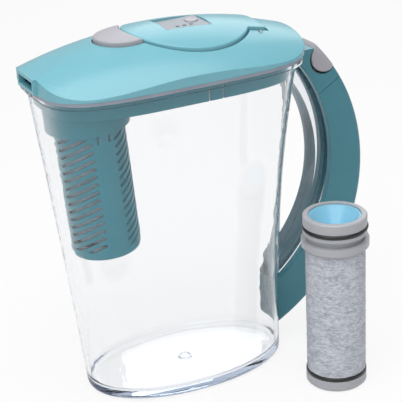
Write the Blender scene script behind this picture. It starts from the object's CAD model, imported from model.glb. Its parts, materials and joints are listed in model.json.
import bpy
import json
import math
from bpy.props import FloatProperty, FloatVectorProperty, IntProperty, PointerProperty
from mathutils import Matrix, Vector, noise

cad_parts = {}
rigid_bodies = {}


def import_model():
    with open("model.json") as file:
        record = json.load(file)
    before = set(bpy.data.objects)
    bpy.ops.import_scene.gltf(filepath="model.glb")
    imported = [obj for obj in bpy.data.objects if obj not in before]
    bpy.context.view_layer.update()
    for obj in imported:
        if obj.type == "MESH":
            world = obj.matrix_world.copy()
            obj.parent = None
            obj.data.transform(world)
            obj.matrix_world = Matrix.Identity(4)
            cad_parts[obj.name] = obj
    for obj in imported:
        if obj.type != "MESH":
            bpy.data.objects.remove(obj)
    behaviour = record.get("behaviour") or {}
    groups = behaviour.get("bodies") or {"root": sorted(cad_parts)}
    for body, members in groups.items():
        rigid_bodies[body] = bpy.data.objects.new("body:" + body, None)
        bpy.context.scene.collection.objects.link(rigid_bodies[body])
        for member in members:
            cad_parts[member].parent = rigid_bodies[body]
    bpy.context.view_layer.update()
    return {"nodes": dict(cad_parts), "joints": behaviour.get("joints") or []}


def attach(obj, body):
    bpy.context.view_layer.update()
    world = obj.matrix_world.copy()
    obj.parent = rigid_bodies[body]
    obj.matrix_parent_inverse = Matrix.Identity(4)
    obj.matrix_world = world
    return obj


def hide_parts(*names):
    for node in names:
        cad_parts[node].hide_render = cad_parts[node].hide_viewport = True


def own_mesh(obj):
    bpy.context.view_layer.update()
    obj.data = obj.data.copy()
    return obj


bl_info = {
    "name": "Filter pitcher finishes",
    "version": (1, 0, 0),
    "blender": (4, 5, 0),
    "location": "3D View > Sidebar > Pitcher",
    "description": "Dresses the water filter pitcher and sets its studio",
    "category": "Object",
}

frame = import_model()
NODES = frame["nodes"]
JOINTS = {joint["name"]: joint for joint in frame["joints"]}
CARTRIDGES = ("filter", "spare")
# Share of the white backdrop that lights matt surfaces, and that shows in a reflection
AMBIENT = 0.22
MIRRORED = 0.35
# White of the floor's paper that is its own, so that the rest takes the shadows
PAPER_GLOW = 0.85
FLOOR_HALF_WIDTH = 40.0
FLOOR_DROP = 0.0005
# Light runs far along the clear walls before it leaves them
LIGHT_BOUNCES = 32


def colour_property(name, description, default):
    return FloatVectorProperty(name=name, description=description, default=default, size=3, min=0, max=1,
                               subtype="COLOR")


class PitcherColours(bpy.types.PropertyGroup):
    teal: colour_property("Teal", "Moulded lid and door", (0.175, 0.455, 0.535))
    deep_teal: colour_property("Deep teal", "Handle", (0.050, 0.235, 0.295))
    inner_teal: colour_property("Inner teal", "Frame and cage inside the jug", (0.010, 0.245, 0.320))
    grey: colour_property("Grey", "Buttons", (0.42, 0.41, 0.45))
    plate_grey: colour_property("Plate grey", "Indicator plate", (0.28, 0.32, 0.36))
    cap_grey: colour_property("Cap grey", "Caps of the cartridge", (0.44, 0.45, 0.48))
    seal_grey: colour_property("Seal grey", "Soft seal under the lid", (0.40, 0.42, 0.50))
    felt_pale: colour_property("Pale felt", "Light fibres of the cartridge's felt", (0.70, 0.72, 0.78))
    felt_dark: colour_property("Dark felt", "Dark flecks of the cartridge's felt", (0.27, 0.30, 0.36))
    core_blue: colour_property("Core blue", "Funnel and core of the cartridge", (0.25, 0.58, 0.76))


class PitcherFelt(bpy.types.PropertyGroup):
    around: IntProperty(name="Around", description="Points round the felt sleeve", default=240, min=24)
    along: IntProperty(name="Along", description="Rows of points along the felt sleeve", default=150, min=8)
    nap: FloatProperty(name="Nap", description="Height of the fibres that stand out of the felt",
                       default=0.0005, unit="LENGTH")
    tuft: FloatProperty(name="Tuft", description="Width of one tuft of fibres",
                        default=0.0022, unit="LENGTH")


class PitcherStage(bpy.types.PropertyGroup):
    focal: FloatProperty(name="Focal length", description="Camera lens", default=125.25, unit="CAMERA")
    azimuth: FloatProperty(name="Azimuth", description="Turn of the view toward the handle",
                           default=math.radians(25.82), subtype="ANGLE")
    elevation: FloatProperty(name="Elevation", description="Height of the view above the horizon",
                             default=math.radians(23.02), subtype="ANGLE")
    roll: FloatProperty(name="Roll", description="Turn of the picture",
                        default=math.radians(2.9), subtype="ANGLE")
    distance: FloatProperty(name="Distance", description="From the camera to its target", default=1.01483,
                            unit="LENGTH")
    target: FloatVectorProperty(name="Target", description="Point in the middle of the picture",
                                default=(0.01997, 0, 0.12655), size=3, subtype="TRANSLATION", unit="LENGTH")


class Signal:
    """One output of a node tree; sums and products of it add Math nodes."""

    def __init__(self, sheet, socket):
        self.sheet = sheet
        self.socket = socket

    def maths(self, operation, first, second):
        return self.sheet.add("ShaderNodeMath", {"operation": operation}, {0: first, 1: second})

    def __add__(self, other):
        return self.maths("ADD", self, other)

    def __radd__(self, other):
        return self.maths("ADD", other, self)

    def __rmul__(self, other):
        return self.maths("MULTIPLY", other, self)


class Sheet:
    """Node tree of one finish."""

    def __init__(self, tree):
        self.tree = tree

    def add(self, kind, settings=None, values=None, output=0):
        node = self.tree.nodes.new(kind)
        for name, value in (settings or {}).items():
            if name == "stops":
                self.set_stops(node.color_ramp, value)
            else:
                setattr(node, name, value)
        for key, value in (values or {}).items():
            if isinstance(value, Signal):
                self.tree.links.new(value.socket, node.inputs[key])
            else:
                node.inputs[key].default_value = value
        return Signal(self, node.outputs[output])

    @staticmethod
    def set_stops(ramp, stops):
        while len(ramp.elements) < len(stops):
            ramp.elements.new(1.0)
        for element, (position, shade) in zip(ramp.elements, stops):
            element.position = position
            element.color = (*shade, 1.0)

    def place(self):
        return self.add("ShaderNodeTexCoord", output="Object")

    def noise(self, scale, detail=2.0, roughness=0.5, stretch=(1.0, 1.0, 1.0)):
        place = self.add("ShaderNodeMapping", None, {"Vector": self.place(), "Scale": stretch})
        return self.add("ShaderNodeTexNoise", None,
                        {"Vector": place, "Scale": scale, "Detail": detail, "Roughness": roughness})

    def mix(self, share, first, second):
        return self.add("ShaderNodeMix", {"data_type": "RGBA"},
                        {"Factor": share, 6: first, 7: second}, output=2)

    def bump(self, height, strength, distance, edge_round=0.0):
        """Normal of a rough surface, over edges that are rounded by a small radius."""
        values = {"Height": height, "Strength": strength, "Distance": distance}
        if edge_round:
            values["Normal"] = self.add("ShaderNodeBevel", {"samples": 6}, {"Radius": edge_round})
        return self.add("ShaderNodeBump", None, values)


def rgba(colour, gain=1.0):
    return (*[min(1.0, c * gain) for c in colour], 1.0)


def new_finish(name):
    """Material with a bare surface shader; returns the material, its sheet and the shader."""
    material = bpy.data.materials.new(name)
    material.use_nodes = True
    sheet = Sheet(material.node_tree)
    shader = material.node_tree.nodes["Principled BSDF"]
    return material, sheet, shader


def feed(sheet, shader, **values):
    for name, value in values.items():
        socket = shader.inputs[name.replace("_", " ")]
        if isinstance(value, Signal):
            sheet.tree.links.new(value.socket, socket)
        else:
            socket.default_value = value


def moulded_plastic(name, colour, roughness=0.34, grain=0.06, edge_round=0.0008):
    """Satin moulded plastic: faint flow clouds in the colour and a fine spark texture in the gloss."""
    material, sheet, shader = new_finish(name)
    clouds = sheet.noise(14.0, 3.0)
    spark = sheet.noise(2600.0, 1.0)
    tint = sheet.mix(clouds, rgba(colour, 0.95), rgba(colour, 1.05))
    feed(sheet, shader, Base_Color=tint, Roughness=roughness - 0.05 + 0.1 * clouds, IOR=1.5,
         Normal=sheet.bump(spark, grain, 0.0002, edge_round))
    return material


def clear_plastic(name):
    """Clear moulded plastic with a few faint waves from the mould; its edges are darker by their depth."""
    material, sheet, shader = new_finish(name)
    waves = sheet.noise(22.0, 1.0)
    feed(sheet, shader, Base_Color=(1.0, 1.0, 1.0, 1.0), Roughness=0.0, IOR=1.45, Transmission_Weight=1.0,
         Normal=sheet.bump(waves, 0.02, 0.002))
    tint = sheet.add("ShaderNodeVolumeAbsorption", None, {"Color": (0.52, 0.61, 0.74, 1.0), "Density": 18.0})
    sheet.tree.links.new(tint.socket, sheet.tree.nodes["Material Output"].inputs["Volume"])
    return material


def rubber(name, colour, roughness=0.5):
    material, sheet, shader = new_finish(name)
    bloom = sheet.noise(60.0, 3.0)
    grain = sheet.noise(1800.0, 1.0)
    feed(sheet, shader, Base_Color=sheet.mix(bloom, rgba(colour, 0.85), rgba(colour, 1.15)),
         Roughness=roughness - 0.06 + 0.12 * bloom, Normal=sheet.bump(grain, 0.1, 0.0002))
    return material


def drawn_steel(name):
    material, sheet, shader = new_finish(name)
    streaks = sheet.noise(900.0, 3.0)
    shade = sheet.mix(streaks, (0.55, 0.55, 0.56, 1), (0.68, 0.68, 0.69, 1))
    feed(sheet, shader, Base_Color=shade, Metallic=1.0, Roughness=0.24 + 0.12 * streaks)
    return material


def coated_board(name):
    material, sheet, shader = new_finish(name)
    traces = sheet.add("ShaderNodeTexVoronoi", {"feature": "DISTANCE_TO_EDGE"},
                       {"Vector": sheet.place(), "Scale": 260.0})
    line = sheet.add("ShaderNodeMath", {"operation": "LESS_THAN"}, {0: traces, 1: 0.06})
    shade = sheet.mix(line, (0.03, 0.16, 0.07, 1), (0.10, 0.34, 0.16, 1))
    feed(sheet, shader, Base_Color=shade, Roughness=0.45)
    return material


def speckled_felt(name, pale, dark):
    """Pressed fibre sheet: pale ground with dark flecks, both drawn out round the cartridge."""
    material, sheet, shader = new_finish(name)
    lying = (1.0, 1.0, 3.2)
    cloud = sheet.noise(90.0, 4.0, 0.65, lying)
    fleck = sheet.noise(330.0, 4.0, 0.7, lying)
    fibre = sheet.noise(1100.0, 2.0, 0.6, lying)
    share = sheet.add("ShaderNodeValToRGB", {"stops": [(0.38, (0, 0, 0)), (0.58, (1, 1, 1))]},
                      {"Fac": 0.25 * cloud + 0.5 * fleck + 0.25 * fibre})
    feed(sheet, shader, Base_Color=sheet.mix(share, rgba(dark), rgba(pale)), Roughness=0.95,
         Normal=sheet.bump(0.6 * fleck + 0.4 * fibre, 0.5, 0.0006))
    return material


def sleeve_axis(node):
    """Middle of a sleeve's lower end, middle of its upper end, and its least and greatest radius."""
    points = [node.matrix_world @ vertex.co for vertex in node.data.vertices]
    middle = sum(points, Vector()) / len(points)
    lower = [point for point in points if point.z < middle.z]
    upper = [point for point in points if point.z >= middle.z]
    start = sum(lower, Vector()) / len(lower)
    end = sum(upper, Vector()) / len(upper)
    line = (end - start).normalized()
    radii = [((point - start) - line * line.dot(point - start)).length for point in points]
    return start, end, min(radii), max(radii)


def felt_sleeve(name, node, felt):
    """Tube of felt in the space of a plain sleeve, with its outer face raised in small tufts."""
    start, end, inner, outer = sleeve_axis(node)
    turn = (end - start).to_track_quat("Z", "X").to_matrix()
    length = (end - start).length
    corners = [(inner, 0.0, 0.0)]
    corners += [(outer, length * row / felt.along, felt.nap) for row in range(felt.along + 1)]
    corners += [(inner, length, 0.0)]
    points, faces = [], []
    for radius, height, nap in corners:
        for step in range(felt.around):
            angle = 2 * math.pi * step / felt.around
            out = Vector((math.cos(angle), math.sin(angle), 0))
            place = radius * out + Vector((0, 0, height))
            stand = nap * (0.5 + 0.5 * noise.noise(place / felt.tuft))
            points.append(start + turn @ (place - (nap - stand) * out))
    for row in range(len(corners)):
        for step in range(felt.around):
            after = (step + 1) % felt.around
            low, high = row * felt.around, (row + 1) % len(corners) * felt.around
            faces.append((low + step, low + after, high + after, high + step))
    mesh = bpy.data.meshes.new(name)
    mesh.from_pydata(points, [], faces)
    mesh.update()
    for face in mesh.polygons:
        face.use_smooth = True
    sleeve = bpy.data.objects.new(name, mesh)
    bpy.context.scene.collection.objects.link(sleeve)
    return sleeve


def pressed_spring(name, joint_name, steel):
    """Coil in the place of a spring, pressed together by the button that the joint moves."""
    joint = JOINTS[joint_name]
    node = NODES[name]
    coil = bpy.data.objects.new(name + "_coil", node.data.copy())
    coil.data.materials.clear()
    coil.data.materials.append(steel)
    bpy.context.scene.collection.objects.link(coil)
    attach(coil, joint["parent"])
    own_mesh(coil)
    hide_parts(name)


def give(material, *names):
    """Set one finish on whole pieces of the pitcher."""
    for name in names:
        piece = NODES[name]
        piece.data.materials.clear()
        piece.data.materials.append(material)


class PITCHER_OT_jug(bpy.types.Operator):
    """Finish the clear jug"""
    bl_idname = "pitcher.jug"
    bl_label = "Clear jug"

    def execute(self, context):
        give(clear_plastic("clear_plastic"), "jug")
        return {"FINISHED"}


class PITCHER_OT_mouldings(bpy.types.Operator):
    """Finish the teal mouldings: lid, handle, door and filter cage"""
    bl_idname = "pitcher.mouldings"
    bl_label = "Teal mouldings"

    def execute(self, context):
        colours = context.scene.pitcher_colours
        give(moulded_plastic("teal_plastic", colours.teal, 0.26), "lid_shell", "fill_door", "door_liner")
        give(moulded_plastic("deep_teal_plastic", colours.deep_teal, 0.26), "handle_grip", "handle_head")
        give(moulded_plastic("inner_teal_plastic", colours.inner_teal), "lid_underframe", "filter_cage")
        return {"FINISHED"}


class PITCHER_OT_controls(bpy.types.Operator):
    """Finish the grey buttons and the indicator plate"""
    bl_idname = "pitcher.controls"
    bl_label = "Grey controls"

    def execute(self, context):
        colours = context.scene.pitcher_colours
        give(moulded_plastic("grey_plastic", colours.grey, 0.38),
             "door_button", "thumb_button", "reset_button")
        give(moulded_plastic("plate_plastic", colours.plate_grey, 0.38), "indicator_bezel")
        give(moulded_plastic("lens_plastic", (0.10, 0.11, 0.12), 0.2), "indicator_lenses")
        return {"FINISHED"}


class PITCHER_OT_seals(bpy.types.Operator):
    """Finish the lid seal and the cartridges' sealing rings"""
    bl_idname = "pitcher.seals"
    bl_label = "Seals"

    def execute(self, context):
        give(rubber("seal_rubber", context.scene.pitcher_colours.seal_grey), "lid_seal")
        black = rubber("ring_rubber", (0.012, 0.012, 0.013), 0.35)
        for cartridge in CARTRIDGES:
            give(black, cartridge + "_lower_ring", cartridge + "_upper_ring")
        return {"FINISHED"}


class PITCHER_OT_cartridges(bpy.types.Operator):
    """Finish the caps, core and felt of both cartridges"""
    bl_idname = "pitcher.cartridges"
    bl_label = "Cartridges"

    def execute(self, context):
        colours = context.scene.pitcher_colours
        cap = moulded_plastic("cap_plastic", colours.cap_grey, 0.36)
        core = moulded_plastic("core_plastic", colours.core_blue, 0.3)
        felt = speckled_felt("cartridge_felt", colours.felt_pale, colours.felt_dark)
        for cartridge in CARTRIDGES:
            give(cap, cartridge + "_base_cap", cartridge + "_top_cap")
            give(core, cartridge + "_core")
            sleeve = felt_sleeve(cartridge + "_felt_sleeve", NODES[cartridge + "_felt"],
                                 context.scene.pitcher_felt)
            sleeve.data.materials.append(felt)
            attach(sleeve, cartridge)
            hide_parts(cartridge + "_felt")
        return {"FINISHED"}


class PITCHER_OT_works(bpy.types.Operator):
    """Finish the springs, pin and the small works inside the door"""
    bl_idname = "pitcher.works"
    bl_label = "Inner works"

    def execute(self, context):
        steel = drawn_steel("drawn_steel")
        give(steel, "door_hinge_pin", "coin_cell")
        pressed_spring("thumb_spring", "thumb_press", steel)
        pressed_spring("door_button_spring", "release_press", steel)
        give(coated_board("coated_board"), "circuit_board")
        give(moulded_plastic("switch_plastic", (0.7, 0.7, 0.68), 0.4), "tact_switch")
        return {"FINISHED"}


class PITCHER_OT_stage(bpy.types.Operator):
    """Set the floor, the light and the camera"""
    bl_idname = "pitcher.stage"
    bl_label = "Studio"

    def execute(self, context):
        make_floor()
        make_world(context.scene)
        make_lamps()
        make_camera(context.scene)
        context.scene.view_settings.view_transform = "Standard"
        context.scene.cycles.max_bounces = LIGHT_BOUNCES
        context.scene.cycles.glossy_bounces = LIGHT_BOUNCES
        context.scene.cycles.transmission_bounces = LIGHT_BOUNCES
        return {"FINISHED"}


def seen_directly(sheet):
    """One where the ray comes from the camera or a refraction, less in a reflection, else nought."""
    path = sheet.add("ShaderNodeLightPath", output="Is Camera Ray")
    glossy = Signal(sheet, path.socket.node.outputs["Is Glossy Ray"])
    through = Signal(sheet, path.socket.node.outputs["Is Transmission Ray"])
    total = path + MIRRORED * glossy + through
    return sheet.add("ShaderNodeMath", {"operation": "MINIMUM"}, {0: total, 1: 1.0})


def make_floor():
    mesh = bpy.data.meshes.new("studio_floor")
    half = FLOOR_HALF_WIDTH
    corners = [(-half, -half, 0), (half, -half, 0), (half, half, 0), (-half, half, 0)]
    mesh.from_pydata(corners, [], [(0, 1, 2, 3)])
    floor = bpy.data.objects.new("studio_floor", mesh)
    bpy.context.scene.collection.objects.link(floor)
    floor.location.z = -FLOOR_DROP
    material = bpy.data.materials.new("studio_paper")
    material.use_nodes = True
    sheet = Sheet(material.node_tree)
    material.node_tree.nodes.remove(material.node_tree.nodes["Principled BSDF"])
    paper = sheet.add("ShaderNodeBsdfDiffuse", None, {"Color": (0.9, 0.9, 0.9, 1)})
    glow = sheet.add("ShaderNodeEmission", None, {"Color": (1, 1, 1, 1), "Strength": 1.0})
    share = PAPER_GLOW * seen_directly(sheet)
    surface = sheet.add("ShaderNodeMixShader", None, {0: share, 1: paper, 2: glow})
    sheet.tree.links.new(surface.socket, material.node_tree.nodes["Material Output"].inputs["Surface"])
    mesh.materials.append(material)


def make_world(scene):
    world = bpy.data.worlds.new("studio")
    scene.world = world
    world.use_nodes = True
    sheet = Sheet(world.node_tree)
    strength = AMBIENT + (1.0 - AMBIENT) * seen_directly(sheet)
    back = world.node_tree.nodes["Background"]
    back.inputs["Color"].default_value = (1, 1, 1, 1)
    sheet.tree.links.new(strength.socket, back.inputs["Strength"])


def make_lamps():
    """Three square lamps, each with its place, the point it shines at, its side and its power."""
    lamps = (("top_lamp", (-0.2, -0.3, 1.5), (0.0, 0.0, 0.2), 1.6, 24.0),
             ("side_lamp", (-1.3, -0.9, 0.9), (0.0, 0.0, 0.15), 1.0, 4.0),
             ("back_lamp", (0.9, 1.2, 1.1), (0.0, 0.0, 0.2), 1.0, 5.0))
    for name, place, aim, side, power in lamps:
        lamp = bpy.data.lights.new(name, "AREA")
        lamp.shape = "SQUARE"
        lamp.size = side
        lamp.energy = power
        holder = bpy.data.objects.new(name, lamp)
        holder.location = place
        holder.rotation_euler = (Vector(aim) - Vector(place)).to_track_quat("-Z", "Y").to_euler()
        bpy.context.scene.collection.objects.link(holder)


def make_camera(scene):
    stage = scene.pitcher_stage
    turn, rise = stage.azimuth, stage.elevation
    forward = Vector((math.sin(turn) * math.cos(rise), math.cos(turn) * math.cos(rise), -math.sin(rise)))
    level = Vector((math.cos(turn), -math.sin(turn), 0))
    upward = level.cross(forward)
    right = level * math.cos(stage.roll) - upward * math.sin(stage.roll)
    above = level * math.sin(stage.roll) + upward * math.cos(stage.roll)
    lens = bpy.data.cameras.new("camera")
    lens.sensor_width = 36.0
    lens.lens = stage.focal
    camera = bpy.data.objects.new("camera", lens)
    axes = Matrix((right, above, -forward)).transposed().to_4x4()
    camera.matrix_world = Matrix.Translation(Vector(stage.target) - stage.distance * forward) @ axes
    scene.collection.objects.link(camera)
    scene.camera = camera


class PITCHER_PT_panel(bpy.types.Panel):
    bl_label = "Filter pitcher"
    bl_idname = "PITCHER_PT_panel"
    bl_space_type = "VIEW_3D"
    bl_region_type = "UI"
    bl_category = "Pitcher"

    def draw(self, context):
        scene = context.scene
        for group in (scene.pitcher_colours, scene.pitcher_felt, scene.pitcher_stage):
            for name in group.__annotations__:
                self.layout.prop(group, name)
        for operator in OPERATORS:
            self.layout.operator(operator.bl_idname)


OPERATORS = (PITCHER_OT_jug, PITCHER_OT_mouldings, PITCHER_OT_controls, PITCHER_OT_seals,
             PITCHER_OT_cartridges, PITCHER_OT_works, PITCHER_OT_stage)
CLASSES = (PitcherColours, PitcherFelt, PitcherStage, *OPERATORS, PITCHER_PT_panel)


def register():
    for cls in CLASSES:
        bpy.utils.register_class(cls)
    bpy.types.Scene.pitcher_colours = PointerProperty(type=PitcherColours)
    bpy.types.Scene.pitcher_felt = PointerProperty(type=PitcherFelt)
    bpy.types.Scene.pitcher_stage = PointerProperty(type=PitcherStage)


def unregister():
    del bpy.types.Scene.pitcher_stage
    del bpy.types.Scene.pitcher_felt
    del bpy.types.Scene.pitcher_colours
    for cls in reversed(CLASSES):
        bpy.utils.unregister_class(cls)


def main():
    register()
    bpy.ops.pitcher.jug()
    bpy.ops.pitcher.mouldings()
    bpy.ops.pitcher.controls()
    bpy.ops.pitcher.seals()
    bpy.ops.pitcher.cartridges()
    bpy.ops.pitcher.works()
    bpy.ops.pitcher.stage()


if __name__ == "__main__":
    main()
